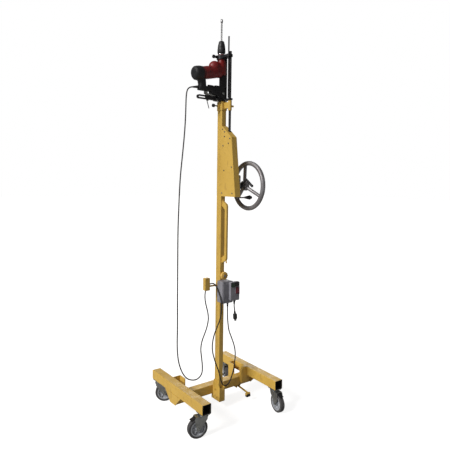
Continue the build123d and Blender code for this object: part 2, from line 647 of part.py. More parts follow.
def drill_motor():
    """Motor housing that runs out to the left of the gearbox."""
    outline = [
        (-28, 2256), (-28, 2326), (-60, 2332), (-88, 2326), (-112, 2304), (-160, 2292),
        (-160, 2208), (-136, 2214), (-80, 2240), (-48, 2252),
    ]
    body = prism_y(outline, DRILL_Y - 34, DRILL_Y + 34)
    long_edges = [edge for edge in body.edges()
                  if abs(edge.center().Y - DRILL_Y) > 33 and -159 < edge.center().X < -29]
    body = fillet(long_edges, 10.0)
    return body - rod((DRILL_X, DRILL_Y, 2200), (0, 0, 1), 31.0, 200)


def drill_handle():
    """Motor cap, D handle and the cord's strain relief."""
    y0, y1 = DRILL_Y - 17, DRILL_Y + 17
    cap = block(-222, -160, DRILL_Y - 28, DRILL_Y + 28, 2200, 2290)
    cap = fillet(cap.edges().filter_by(Axis.Y), 18.0)
    left = block(-184, -136, y0, y1, 2140, 2214)
    grip = block(-184, 14, y0, y1, 2140, 2176)
    right = block(-16, 14, y0, y1, 2140, 2256)
    frame = left + grip + right
    frame = fillet(frame.edges().filter_by(Axis.Y), 8.0) - drill_motor()
    slot = block(-110, -70, DRILL_Y - 7, DRILL_Y + 7, 2166, 2190)
    foot = block(-126, -98, DRILL_Y - 11, DRILL_Y + 11, ARM_TOP + 10, 2141)
    foot_right = block(-44, 9, DRILL_Y - 11, DRILL_Y + 11, BASE_TOP + 12, 2141)
    exit_point = UPPER_CORD[0]
    way = tuple(a - b for a, b in zip(exit_point, UPPER_CORD[1]))
    relief = cone(exit_point, way, CORD_R + 1.2, 9.0, 46)
    return cap + frame - slot + foot + foot_right + relief


def drill_trigger():
    """Trigger in the grip; it presses down into the handle."""
    return block(-109.5, -70.5, DRILL_Y - 6.5, DRILL_Y + 6.5, 2172, 2184)


def chuck():
    """Black chuck on its spindle."""
    spindle = rod((DRILL_X, DRILL_Y, 2342), (0, 0, 1), 10.0, 43)
    flange = rod((DRILL_X, DRILL_Y, 2384.5), (0, 0, 1), 22.0, 8)
    sleeve = rod((DRILL_X, DRILL_Y, 2392.5), (0, 0, 1), 26.0, 34)
    nose = cone((DRILL_X, DRILL_Y, 2426.5), (0, 0, 1), 22.0, 16.0, 44)
    hole = rod((DRILL_X, DRILL_Y, 2420), (0, 0, 1), 5.0, 60)
    return spindle + flange + sleeve + nose - hole


def drill_bit():
    """Masonry bit: shank, fluted stem and carbide head."""
    stem = rod((DRILL_X, DRILL_Y, 2420), (0, 0, 1), 5.0, 168)
    head = rod((DRILL_X, DRILL_Y, 2588), (0, 0, 1), 7.5, 18)
    tip = cone((DRILL_X, DRILL_Y, 2606), (0, 0, 1), 7.5, 1.5, 5)
    return stem + head + tip


# ---------------------------------------------------------------- switch box
def control_box():
    """Die-cast switch box on the mast's front face."""
    body = block(BOX_X0, BOX_X1, BOX_FRONT, -MAST_Y / 2, BOX_BOTTOM, BOX_TOP)
    body = fillet(body.edges().filter_by(Axis.Y), 6.0)
    inside = block(BOX_X0 + 4, BOX_X1 - 4, BOX_FRONT - 1, -MAST_Y / 2 - 4,
                   BOX_BOTTOM + 4, BOX_TOP - 4)
    return body - inside - rod((*BOX_GLAND[:2], BOX_BOTTOM - 1), (0, 0, 1), NECK_R, 8)


def box_cover():
    """Cover plate with its screws along the left edge."""
    y = BOX_FRONT
    lid = block(BOX_X0, BOX_X1, y - COVER_T, y, BOX_BOTTOM, BOX_TOP)
    lid = fillet(lid.edges().filter_by(Axis.Y), 6.0)
    for z in (BOX_BOTTOM + 8, BOX_TOP - 8):
        lid += rod((BOX_X0 + 8, y - COVER_T, z), (0, -1, 0), 4.0, 2.0)
    return lid


def switch_housing():
    """Switch module on the cover, reaching past its right edge."""
    y = BOX_FRONT - COVER_T
    body = block(10, 82, y - 24, y, SWITCH_BOTTOM, BOX_TOP - 4)
    body = fillet(body.edges().filter_by(Axis.Y), 6.0)
    pocket = block(18, 40, y - 25, y - 12, 866, 892)
    paddle_slot = block(48.5, 75.5, y - 25, y - 10, 819, 866)
    gland_hole = rod((*SWITCH_GLAND[:2], SWITCH_BOTTOM - 1), (0, 0, 1), NECK_R, 9)
    return body - pocket - paddle_slot - gland_hole


def start_button():
    y = BOX_FRONT - COVER_T
    return block(18.4, 39.6, y - 29, y - 16, 866.4, 891.6)


def stop_paddle():
    """Red stop paddle hinged at its upper edge."""
    y = BOX_FRONT - COVER_T
    shape = prism_x([(y - 19, 863.5), (y - 23, 863.5), (y - 34, 830), (y - 34, 824.5),
                     (y - 28, 824.5), (y - 19, 852)], 49.5, 74.5)
    return shape


def cord_glands():
    """Tapered strain reliefs under the box and under the switch housing."""
    pieces = []
    for x, y, top, end in (BOX_GLAND, SWITCH_GLAND):
        nut = hex_head((x, y, top - 7), (0, 0, 1), 17, 7)
        neck = rod((x, y, top - 1), (0, 0, 1), NECK_R, 5)
        taper = cone((x, y, end), (0, 0, 1), CORD_R + 1.0, 7.0, top - 7 - end)
        pieces.append(nut + neck + taper)
    return group(*pieces)


def cord_hook():
    """Stub that the drill's cord hangs over, on a thin arm from the mast's side."""
    arm = rod((-MAST_X / 2, 0, 867), (-1, 0, 0), 6.0, 75)
    pad = block(-MAST_X / 2 - 4, -MAST_X / 2, -16, 16, 846, 882)
    stub = block(-128, -91, -14, 14, 841, 926)
    stub = fillet(stub.edges().filter_by(Axis.Y), 5.0)
    return arm + pad + stub


# ---------------------------------------------------------------- cords
def cord_radii(points):
    """Corner radius at each inner point, from the shorter run and the turn there."""
    corners = [Vector(*point) for point in points]
    radii = []
    for before, here, after in zip(corners, corners[1:], corners[2:]):
        first, second = here - before, after - here
        half_turn = radians(first.get_angle(second)) / 2
        radii.append(0.45 * min(first.length, second.length) / tan(half_turn))
    return radii


def cord(points):
    """Round cord swept along straight runs and tangent arcs."""
    path = FilletPolyline(*points, radius=cord_radii(points))
    start = Plane(origin=path @ 0, z_dir=path % 0)
    return sweep(start * Circle(CORD_R), path=path)


def drill_cord_upper():
    return cord(UPPER_CORD)


def drill_cord_lower():
    return cord(LOWER_CORD)


def supply_cord():
    return cord(SUPPLY_CORD)


def supply_plug():
    """Moulded plug at the end of the short supply cord, with two flat blades and a round pin."""
    tip, before = Vector(*SUPPLY_CORD[-1]), Vector(*SUPPLY_CORD[-2])
    axis = (tip - before).normalized()
    frame = Plane(origin=tip, x_dir=(0, 1, 0), z_dir=axis)
    sleeve = frame * Cone(CORD_R + 1.0, 8.5, 21, align=(Align.CENTER, Align.CENTER, Align.MIN))
    body = frame * Pos(0, 0, 21) * Cylinder(14.0, 34, align=(Align.CENTER, Align.CENTER, Align.MIN))
    body = fillet(body.edges().filter_by(GeomType.CIRCLE), 3.0)
    plug = sleeve + body
    for side in (-6.3, 6.3):
        plug += frame * Pos(side, -3, 62) * Box(1.6, 6.3, 15)
    return plug + frame * Pos(0, 7, 62) * Cylinder(2.4, 15)


NODES = {
    "side_rails": side_rails,
    "cross_tube": cross_tube,
    "rail_brackets": rail_brackets,
    "mast_foot": mast_foot,
    "caster_plates": caster_plates,
    "foot_pedal": foot_pedal,
    "pedal_pad": pedal_pad,
    "lower_mast": lower_mast,
    "mast_lock_knob": mast_lock_knob,
    "upper_mast": upper_mast,
    "mast_spigot": mast_spigot,
    "grab_handle": grab_handle,
    "feed_casing": feed_casing,
    "casing_screws": casing_screws,
    "shaft_bearing": shaft_bearing,
    "drive_chain": drive_chain,
    "idler_sprocket": idler_sprocket,
    "drive_shaft": drive_shaft,
    "handwheel": handwheel,
    "spinner_grip": spinner_grip,
    "feed_lock_lever": feed_lock_lever,
    "top_collar": top_collar,
    "collar_screw": collar_screw,
    "feed_rod": feed_rod,
    "drill_cradle": drill_cradle,
    "nose_bracket": nose_bracket,
    "nose_screw": nose_screw,
    "cradle_bolts": cradle_bolts,
    "depth_rod": depth_rod,
    "drill_gearbox": drill_gearbox,
    "drill_motor": drill_motor,
    "drill_handle": drill_handle,
    "drill_trigger": drill_trigger,
    "chuck": chuck,
    "drill_bit": drill_bit,
    "control_box": control_box,
    "box_cover": box_cover,
    "switch_housing": switch_housing,
    "start_button": start_button,
    "stop_paddle": stop_paddle,
    "cord_glands": cord_glands,
    "cord_hook": cord_hook,
    "drill_cord_upper": drill_cord_upper,
    "drill_cord_lower": drill_cord_lower,
    "supply_cord": supply_cord,
    "supply_plug": supply_plug,
}


def write(name, shape):
    export_step(shape, f"parts/{name}.step")


def main():
    os.makedirs("parts", exist_ok=True)
    for name, make in NODES.items():
        write(name, make())
    for corner, (cx, cy, heading, braked) in CASTERS.items():
        write(f"fork_{corner}", place_caster(caster_fork(), cx, cy, heading))
        write(f"hub_{corner}", place_caster(caster_hub(), cx, cy, heading))
        write(f"tread_{corner}", place_caster(caster_tread(), cx, cy, heading))
        if braked:
            write(f"brake_{corner}", place_caster(brake_pedal(), cx, cy, heading))


main()
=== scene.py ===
"""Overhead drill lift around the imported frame: camera, light, cords, finished surfaces and the
pieces that need a finer mesh than the CAD solids."""

import json
from math import cos, pi, radians, sin

import bmesh
import bpy
from mathutils import Matrix, Vector, noise


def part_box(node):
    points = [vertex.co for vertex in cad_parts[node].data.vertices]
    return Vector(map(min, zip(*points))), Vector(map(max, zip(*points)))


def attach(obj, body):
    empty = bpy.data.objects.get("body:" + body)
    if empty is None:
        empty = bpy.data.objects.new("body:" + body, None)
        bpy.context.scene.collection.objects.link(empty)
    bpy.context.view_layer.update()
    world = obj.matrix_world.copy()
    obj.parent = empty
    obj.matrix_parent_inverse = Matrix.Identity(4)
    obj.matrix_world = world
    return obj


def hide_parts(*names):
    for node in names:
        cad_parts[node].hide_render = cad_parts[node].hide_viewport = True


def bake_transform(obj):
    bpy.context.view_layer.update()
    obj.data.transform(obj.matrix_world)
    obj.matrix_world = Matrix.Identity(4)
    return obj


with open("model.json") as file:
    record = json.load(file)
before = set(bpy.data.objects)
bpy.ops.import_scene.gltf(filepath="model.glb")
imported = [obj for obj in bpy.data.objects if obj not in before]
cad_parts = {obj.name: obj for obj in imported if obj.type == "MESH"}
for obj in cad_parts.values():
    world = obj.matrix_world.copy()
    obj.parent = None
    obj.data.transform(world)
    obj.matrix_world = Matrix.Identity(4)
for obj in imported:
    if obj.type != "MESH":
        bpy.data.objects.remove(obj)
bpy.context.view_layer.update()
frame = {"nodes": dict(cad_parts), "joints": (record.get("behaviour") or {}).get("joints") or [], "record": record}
NODES = frame["nodes"]
scene = bpy.context.scene
X, Y, Z = Vector((1, 0, 0)), Vector((0, 1, 0)), Vector((0, 0, 1))

# Places the CAD gives, in millimetres.
DRILL_X, DRILL_Y = -6, 5                          # upright axis of the chuck and the bit
MOTOR_AXIS = (1, 0, 0.19)                         # the motor housing leans back a little
CAP_AXIS = (1, 0, 0.16)
RAIL_X, RAIL_Z, RAIL_HALF = 296.4, 187.25, 31.75  # centre line and half width of a side rail
WHEEL_Y, WHEEL_Z = -140, 1541                     # handwheel shaft
ARM_BOLT_X, ARM_TOP = -112, 2116                  # bolt through the slotted arm
CORNERS = ("front_left", "front_right", "rear_left", "rear_right")


# ---------------------------------------------------------------- camera and light
def add_camera():
    """Camera at standing height, in front and to the left, looking slightly down."""
    yaw, pitch, roll = radians(-36.4214), radians(5.4324), radians(0.7444)
    ahead = Vector((-sin(yaw) * cos(pitch), cos(yaw) * cos(pitch), -sin(pitch)))
    level = Vector((cos(yaw), sin(yaw), 0))
    up = level.cross(ahead)
    right = level * cos(roll) + up * sin(roll)
    above = up * cos(roll) - level * sin(roll)
    data = bpy.data.cameras.new("camera")
    data.sensor_width = 36
    data.lens = 36.521
    data.clip_end = 100
    camera = bpy.data.objects.new("camera", data)
    turn = Matrix((right, above, -ahead)).transposed().to_4x4()
    camera.matrix_world = Matrix.Translation((-1.79394, -2.48187, 1.56705)) @ turn
    scene.collection.objects.link(camera)
    scene.camera = camera


def add_light(name, kind, direction, energy, color, spread, distance=5.0):
    """Lamp that shines along a direction; spread is degrees for a sun and metres for a disk."""
    data = bpy.data.lights.new(name, kind)
    data.energy = energy
    data.color = color
    if kind == "SUN":
        data.angle = radians(spread)
    else:
        data.shape = "DISK"
        data.size = spread
    lamp = bpy.data.objects.new(name, data)
    way = Vector(direction).normalized()
    lamp.location = Vector((0, 0, 1.3)) - way * distance
    lamp.rotation_euler = way.to_track_quat("-Z", "Y").to_euler()
    scene.collection.objects.link(lamp)


def add_world():
    """Dim warm fill on the object, and plain white behind it."""
    world = bpy.data.worlds.new("studio")
    world.use_nodes = True
    tree = world.node_tree
    tree.nodes.clear()
    out = tree.nodes.new("ShaderNodeOutputWorld")
    mix = tree.nodes.new("ShaderNodeMixShader")
    path = tree.nodes.new("ShaderNodeLightPath")
    fill = tree.nodes.new("ShaderNodeBackground")
    back = tree.nodes.new("ShaderNodeBackground")
    fill.inputs["Color"].default_value = (1.0, 0.97, 0.94, 1)
    fill.inputs["Strength"].default_value = 0.15
    back.inputs["Color"].default_value = (1, 1, 1, 1)
    back.inputs["Strength"].default_value = 1.0
    tree.links.new(path.outputs["Is Camera Ray"], mix.inputs["Fac"])
    tree.links.new(fill.outputs[0], mix.inputs[1])
    tree.links.new(back.outputs[0], mix.inputs[2])
    tree.links.new(mix.outputs[0], out.inputs["Surface"])
    scene.world = world


add_camera()
add_world()
add_light("key", "SUN", (0.80, 0.05, -0.55), 3.1, (1.0, 0.98, 0.95), 20)
add_light("front_fill", "AREA", (0.15, 1.0, -0.1), 4, (1.0, 0.94, 0.86), 2.5)
add_light("back_rim", "AREA", (-0.6, -0.7, -0.35), 45, (1.0, 1.0, 1.0), 2.5)
scene.view_settings.view_transform = "Standard"


# ---------------------------------------------------------------- materials
class Surface:
    """Principled material whose colour, roughness and bump vary with position."""

    def __init__(self, name, color, rough, metal=0.0):
        self.material = bpy.data.materials.new(name)
        self.material.use_nodes = True
        self.material.diffuse_color = (*color, 1)
        self.nodes = self.material.node_tree.nodes
        self.links = self.material.node_tree.links
        self.shader = self.nodes["Principled BSDF"]
        self.shader.inputs["Metallic"].default_value = metal
        self.coords = self.nodes.new("ShaderNodeTexCoord").outputs["Object"]
        self.color = None
        self.base = (*color, 1)
        self.rough = rough
        self.height = None

    def field(self, scale, detail=4, stretch=(1, 1, 1), low=0.4, high=0.6):
        """Noise between two levels, 0 below the low one and 1 above the high one."""
        place = self.nodes.new("ShaderNodeMapping")
        place.inputs["Scale"].default_value = stretch
        grain = self.nodes.new("ShaderNodeTexNoise")
        grain.inputs["Scale"].default_value = scale
        grain.inputs["Detail"].default_value = detail
        ramp = self.nodes.new("ShaderNodeMapRange")
        ramp.inputs["From Min"].default_value = low
        ramp.inputs["From Max"].default_value = high
        self.links.new(self.coords, place.inputs["Vector"])
        self.links.new(place.outputs["Vector"], grain.inputs["Vector"])
        self.links.new(grain.outputs["Fac"], ramp.inputs["Value"])
        return ramp.outputs["Result"]

    def tint(self, field, color, amount):
        """Mixes a colour in where the field is high."""
        scale = self.nodes.new("ShaderNodeMath")
        scale.operation = "MULTIPLY"
        scale.inputs[1].default_value = amount
        self.links.new(field, scale.inputs[0])
        mix = self.nodes.new("ShaderNodeMix")
        mix.data_type = "RGBA"
        if self.color is None:
            mix.inputs["A"].default_value = self.base
        else:
            self.links.new(self.color, mix.inputs["A"])
        mix.inputs["B"].default_value = (*color, 1)
        self.links.new(scale.outputs[0], mix.inputs["Factor"])
        self.color = mix.outputs["Result"]
        return self

    def gloss(self, field, low, high):
        """Roughness between two levels."""
        ramp = self.nodes.new("ShaderNodeMapRange")
        ramp.inputs["To Min"].default_value = low
        ramp.inputs["To Max"].default_value = high
        self.links.new(field, ramp.inputs["Value"])
        self.links.new(ramp.outputs["Result"], self.shader.inputs["Roughness"])
        return self

    def bump(self, field, depth, strength=0.5):
        """Relief from the field, on top of any added before."""
        bump = self.nodes.new("ShaderNodeBump")
        bump.inputs["Distance"].default_value = depth
        bump.inputs["Strength"].default_value = strength
        self.links.new(field, bump.inputs["Height"])
        if self.height is not None:
            self.links.new(self.height, bump.inputs["Normal"])
        self.height = bump.outputs["Normal"]
        return self

    def done(self):
        """Links what was added to the shader."""
        if self.color is None:
            self.shader.inputs["Base Color"].default_value = self.base
        else:
            self.links.new(self.color, self.shader.inputs["Base Color"])
        if not self.shader.inputs["Roughness"].is_linked:
            self.shader.inputs["Roughness"].default_value = self.rough
        if self.height is not None:
            self.links.new(self.height, self.shader.inputs["Normal"])
        return self.material


def paint(name, color, shade, wear, wear_amount=0.55):
    """Sprayed enamel with faint orange peel, cloudy shade and small worn spots."""
    s = Surface(name, color, 0.42)
    s.tint(s.field(5, 5), shade, 0.38)
    s.tint(s.field(38, 6, (1, 1, 0.35), 0.60, 0.70), wear, wear_amount * 0.5)
    s.tint(s.field(150, 3, (1, 1, 0.2), 0.68, 0.72), wear, wear_amount)
    s.gloss(s.field(20, 4), 0.34, 0.56)
    s.bump(s.field(420, 2), 0.0004, 0.25)
    s.bump(s.field(38, 6, (1, 1, 0.35), 0.60, 0.70), 0.0003, 0.4)
    s.shader.inputs["Coat Weight"].default_value = 0.15
    s.shader.inputs["Coat Roughness"].default_value = 0.3
    return s.done()


def metal(name, color, dark, low, high, stretch=(1, 1, 1)):
    """Bare or plated metal, with its grain drawn out along the stretched axis."""
    s = Surface(name, color, low, 1.0)
    s.tint(s.field(22, 5), dark, 0.55)
    s.tint(s.field(180, 4, stretch, 0.35, 0.7), dark, 0.35)
    s.gloss(s.field(60, 4, stretch), low, high)
    s.bump(s.field(180, 4, stretch), 0.0002, 0.35)
    return s.done()


def moulded(name, color, shade, low, high, grain=900, depth=0.0002, metallic=0.0):
    """Plastic, rubber or cast skin with a fine grain and dusty patches."""
    s = Surface(name, color, low, metallic)
    s.tint(s.field(9, 4), shade, 0.5)
    s.tint(s.field(70, 5, low=0.55, high=0.75), shade, 0.4)
    s.gloss(s.field(35, 4), low, high)
    s.bump(s.field(grain, 2), depth, 0.5)
    return s.done()


MATERIALS = {
    "yellow_paint": paint("yellow_paint", (0.66, 0.425, 0.085), (0.54, 0.33, 0.055),
                          (0.24, 0.12, 0.03)),
    "zinc": metal("zinc", (0.42, 0.43, 0.42), (0.20, 0.205, 0.20), 0.38, 0.6),
    "polished_steel": metal("polished_steel", (0.66, 0.67, 0.69), (0.30, 0.30, 0.31), 0.14, 0.3,
                            (1, 1, 12)),
    "cast_alloy": moulded("cast_alloy", (0.30, 0.295, 0.31), (0.13, 0.11, 0.11), 0.36, 0.55, 260,
                          0.0002, 0.5),
    "dark_steel": moulded("dark_steel", (0.012, 0.012, 0.015), (0.028, 0.027, 0.03), 0.32, 0.5, 500,
                          0.0002, 0.2),
    "bit_steel": metal("bit_steel", (0.42, 0.42, 0.43), (0.2, 0.2, 0.21), 0.3, 0.45, (1, 1, 8)),
    "grey_box": moulded("grey_box", (0.27, 0.27, 0.305), (0.16, 0.16, 0.19), 0.45, 0.65, 700,
                        0.0004),
    "tool_red": moulded("tool_red", (0.21, 0.012, 0.012), (0.11, 0.008, 0.008), 0.32, 0.5, 600),
    "stop_red": moulded("stop_red", (0.17, 0.03, 0.045), (0.10, 0.015, 0.025), 0.3, 0.45),
    "button_green": moulded("button_green", (0.02, 0.05, 0.03), (0.012, 0.03, 0.02), 0.3, 0.45),
    "black_plastic": moulded("black_plastic", (0.007, 0.007, 0.009), (0.017, 0.017, 0.02), 0.42,
                             0.62, 800, 0.0003),
    "knob_plastic": moulded("knob_plastic", (0.72, 0.45, 0.10), (0.55, 0.32, 0.07), 0.28, 0.4),
    "grey_rubber": moulded("grey_rubber", (0.05, 0.049, 0.052), (0.095, 0.092, 0.094), 0.6, 0.8,
                           500, 0.0004),
    "black_rubber": moulded("black_rubber", (0.010, 0.010, 0.010), (0.024, 0.022, 0.02), 0.6, 0.8,
                            500, 0.0004),
    "wheel_centre": moulded("wheel_centre", (0.44, 0.46, 0.50), (0.29, 0.305, 0.33), 0.5, 0.7,
                            400, 0.0003),
    "cord_jacket": moulded("cord_jacket", (0.010, 0.009, 0.010), (0.024, 0.020, 0.020), 0.5, 0.7,
                           600, 0.0003),
    "inner_black": moulded("inner_black", (0.012, 0.011, 0.010), (0.03, 0.026, 0.02), 0.7, 0.9),
    "weld": paint("weld", (0.60, 0.35, 0.07), (0.40, 0.22, 0.04), (0.2, 0.1, 0.03), 0.7),
}


def dress_cad():
    """Finishes every CAD node with its slot's material and a small edge rounding."""
    slots = {part["node"]: part["material_slot"] for part in frame["record"]["subparts"]}
    soft_edge = {"yellow_paint": 0.0009, "zinc": 0.0006, "dark_steel": 0.0006}
    for name, node in NODES.items():
        slot = slots[name]
        node.data.materials.clear()
        node.data.materials.append(MATERIALS[slot])
        edge = node.modifiers.new("edge", "BEVEL")
        edge.width = soft_edge.get(slot, 0.0005)
        edge.segments = 2
        edge.limit_method = "ANGLE"
        edge.angle_limit = radians(38)
        edge.use_clamp_overlap = True
        edge.harden_normals = False


dress_cad()


# ---------------------------------------------------------------- mesh helpers
def mm(*values):
    """Vector in metres from millimetres."""
    return Vector(v / 1000 for v in values)


def drill_axis(z):
    """Point on the axis of the chuck and the bit."""
    return mm(DRILL_X, DRILL_Y, z)


def make(name, bm, material, body, replaced=(), smooth=True, bevel=0.0):
    """Turns a bmesh into a piece that rides on a body, or on none yet."""
    bmesh.ops.recalc_face_normals(bm, faces=bm.faces)
    mesh = bpy.data.meshes.new(name)
    bm.to_mesh(mesh)
    bm.free()
    for face in mesh.polygons:
        face.use_smooth = smooth
    piece = bpy.data.objects.new(name, mesh)
    scene.collection.objects.link(piece)
    mesh.materials.append(MATERIALS[material])
    if bevel:
        edge = piece.modifiers.new("edge", "BEVEL")
        edge.width = bevel
        edge.segments = 2
        edge.limit_method = "ANGLE"
        edge.angle_limit = radians(35)
    if replaced:
        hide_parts(*replaced)
    if body:
        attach(piece, body)
    return piece


def basis(axis):
    """Rotation that turns +Z to an axis."""
    return Vector(axis).normalized().to_track_quat("Z", "Y").to_matrix().to_4x4()


def bridge(bm, rings):
    """Joins each ring of vertices to the next one with a band of faces."""
    for low, high in zip(rings, rings[1:]):
        for index in range(len(low)):
            after = (index + 1) % len(low)
            bm.faces.new((low[index], low[after], high[after], high[index]))


def cap_ends(bm, rings):
    bm.faces.new(list(reversed(rings[0])))
    bm.faces.new(rings[-1])


def turned_rings(bm, profile, origin, axis, segments, wave=None):
    """One ring of vertices for each (radius, height) of a profile."""
    place = Matrix.Translation(origin) @ basis(axis)
    rings = []
    for radius, height in profile:
        ring = []
        for index in range(segments):
            angle = 2 * pi * index / segments
            here = radius * (wave(angle, height) if wave else 1.0)
            spot = Vector((here * cos(angle), here * sin(angle), height))
            ring.append(bm.verts.new(place @ spot))
        rings.append(ring)
    return rings


def lathe(bm, profile, origin, axis, segments=48, wave=None):
    """Closed turned solid: profile of (radius, height) from one end to the other."""
    rings = turned_rings(bm, profile, origin, axis, segments, wave)
    bridge(bm, rings)
    cap_ends(bm, rings)
    return bm


def hollow_lathe(bm, profile, origin, axis, segments=64):
    """Turned ring: the profile closes on itself."""
    rings = turned_rings(bm, profile, origin, axis, segments)
    bridge(bm, rings + rings[:1])
    return bm


def bar(bm, a, b, radius, segments=12):
    """Round bar from one point to another."""
    a, b = Vector(a), Vector(b)
    return lathe(bm, [(radius, 0), (radius, (b - a).length)], a, b - a, segments)


def ball(bm, centre, radii, segments=24):
    """Ellipsoid."""
    made = bmesh.ops.create_uvsphere(bm, u_segments=segments, v_segments=segments // 2, radius=1.0)
    for vert in made["verts"]:
        vert.co = Vector(centre) + Vector(v * r for v, r in zip(vert.co, radii))
    return bm


def slab(bm, low, high):
    """Box between two corners."""
    made = bmesh.ops.create_cube(bm, size=1.0)
    low, high = Vector(low), Vector(high)
    for vert in made["verts"]:
        vert.co = Vector((low + high) / 2) + Vector(v * s for v, s in zip(vert.co, high - low))
    return bm


def prism(bm, outline, front, back):
    """Outline in x and z pushed along y."""
    near = [bm.verts.new(mm(x, front, z)) for x, z in outline]
    far = [bm.verts.new(mm(x, back, z)) for x, z in outline]
    bridge(bm, [near, far])
    cap_ends(bm, [near, far])
    return bm


def hexagon(bm, origin, axis, flats, thick):
    """Chamfered bolt head or nut."""
    r = flats / 2 / cos(radians(30)) / 1000
    h = thick / 1000
    return lathe(bm, [(r * 0.86, 0), (r, h * 0.14), (r, h * 0.82), (r * 0.84, h)],
                 mm(*origin), axis, 6)


def blob(name, bm, voxel, smooth_steps, material, body, replaced, cuts=()):
    """Joins overlapping lumps into one moulded skin, with any box-shaped slots cut from it."""
    mesh = bpy.data.meshes.new(name)
    bm.to_mesh(mesh)
    bm.free()
    raw = bpy.data.objects.new(name, mesh)
    scene.collection.objects.link(raw)
    remesh = raw.modifiers.new("skin", "REMESH")
    remesh.mode = "VOXEL"
    remesh.voxel_size = voxel
    relax = raw.modifiers.new("relax", "SMOOTH")
    relax.factor = 0.5
    relax.iterations = smooth_steps
    cutters = []
    for low, high in cuts:
        cutter = bpy.data.objects.new("cutter", bpy.data.meshes.new("cutter"))
        cutter_mesh = slab(bmesh.new(), low, high)
        cutter_mesh.to_mesh(cutter.data)
        cutter_mesh.free()
        scene.collection.objects.link(cutter)
        slot_cut = raw.modifiers.new("slot", "BOOLEAN")
        slot_cut.operation = "DIFFERENCE"
        slot_cut.object = cutter
        cutters.append(cutter)
    bpy.context.view_layer.update()
    graph = bpy.context.evaluated_depsgraph_get()
    final = bpy.data.meshes.new_from_object(raw.evaluated_get(graph))
    raw.modifiers.clear()
    raw.data = final
    bpy.data.meshes.remove(mesh)
    for cutter in cutters:
        bpy.data.objects.remove(cutter)
    final.name = name
    for face in final.polygons:
        face.use_smooth = True
    final.materials.clear()
    final.materials.append(MATERIALS[material])
    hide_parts(*replaced)
    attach(raw, body)


# ---------------------------------------------------------------- drill
def add_motor():
    """Motor and gear housing in one skin, the nose sleeve, screws and the seam ring."""
    bm = bmesh.new()
    lathe(bm, [(0.030, 0), (0.039, 0.006), (0.041, 0.05), (0.038, 0.115), (0.026, 0.135)],
          mm(-166, DRILL_Y, 2250), MOTOR_AXIS)
    ball(bm, mm(-59, DRILL_Y, 2301), (0.041, 0.037, 0.040))
    ball(bm, mm(-34, DRILL_Y, 2286), (0.048, 0.034, 0.050))
    lathe(bm, [(0.028, 0), (0.032, 0.006), (0.031, 0.075), (0.027, 0.088), (0.0245, 0.098)],
          drill_axis(2256), Z)
    blob("motor_housing", bm, 0.0028, 10, "tool_red", "carriage",
         ("drill_motor", "drill_gearbox"))
    bm = bmesh.new()
    lathe(bm, [(0.0236, 0), (0.0236, 0.040), (0.0225, 0.042)], drill_axis(2343), Z)
    make("nose_sleeve", bm, "tool_red", "carriage", bevel=0.0006)
    bm = bmesh.new()
    for z in (2282, 2260):
        lathe(bm, [(0.004, 0), (0.0042, 0.002), (0.0034, 0.0026)], mm(-118, -35, z), -Y, 20)
    hollow_lathe(bm, [(0.0405, 0), (0.0415, 0.002), (0.0405, 0.004)], mm(-155, DRILL_Y, 2252),
                 MOTOR_AXIS)
    make("motor_screws_and_seam", bm, "inner_black", "carriage")


def add_handle():
    """Motor cap and D handle in one skin, strain relief, vent slats and the clamp block."""
    bm = bmesh.new()
    lathe(bm, [(0.020, 0), (0.034, 0.003), (0.042, 0.012), (0.0445, 0.028), (0.0445, 0.046),
               (0.0425, 0.062)], mm(-221, DRILL_Y, 2241), CAP_AXIS)
    prism(bm, ((-204, 2250), (-200, 2212), (-178, 2200), (-172, 2146), (-124, 2146), (-134, 2180),
               (-136, 2212), (-150, 2250)), -14, 24)
    slab(bm, mm(-182, -12, 2143), mm(-120, 22, 2166))
    slab(bm, mm(-150, -12, 2143), mm(12, 22, 2172))
    slab(bm, mm(-62, -12, 2150), mm(12, 22, 2186))
    slab(bm, mm(-11, -12, 2150), mm(12, 22, 2262))
    slab(bm, mm(10, -14, 2180), mm(23, 24, 2330))
    blob("handle", bm, 0.0026, 8, "black_plastic", "carriage", ("drill_handle",),
         cuts=[(mm(-110.5, -2.4, 2165), mm(-69.5, 12.4, 2200))])
    bm = bmesh.new()
    axis = Vector((40, 0, 5.6)).normalized()
    relief = []
    for step in range(9):
        radius = 0.0052 + 0.0042 * step / 8
        start = step * 0.0052
        relief += [(radius, start), (radius, start + 0.0032),
                   (radius - 0.0013, start + 0.0033), (radius - 0.0013, start + 0.0051)]
    lathe(bm, relief, mm(-224, DRILL_Y, 2156), axis, 24)
    make("drill_strain_relief", bm, "black_rubber", "carriage")
    bm = bmesh.new()
    for k in range(5):
        low = mm(-212 + 0.6 * k, -14, 2222 + 9 * k)
        slab(bm, low, low + mm(2, 38, 3.6))
    make("cap_vents", bm, "inner_black", "carriage", bevel=0.0005)
    bm = bmesh.new()
    prism(bm, ((-92, 2150), (-90, 2132), (-52, 2124), (-36, 2101), (0, 2101), (14, 2128),
               (17, 2150)), -13, 25)
    slab(bm, mm(-38, -18, 2101.5), mm(6, 28, 2116))
    make("clamp_block", bm, "dark_steel", "carriage", bevel=0.0025)


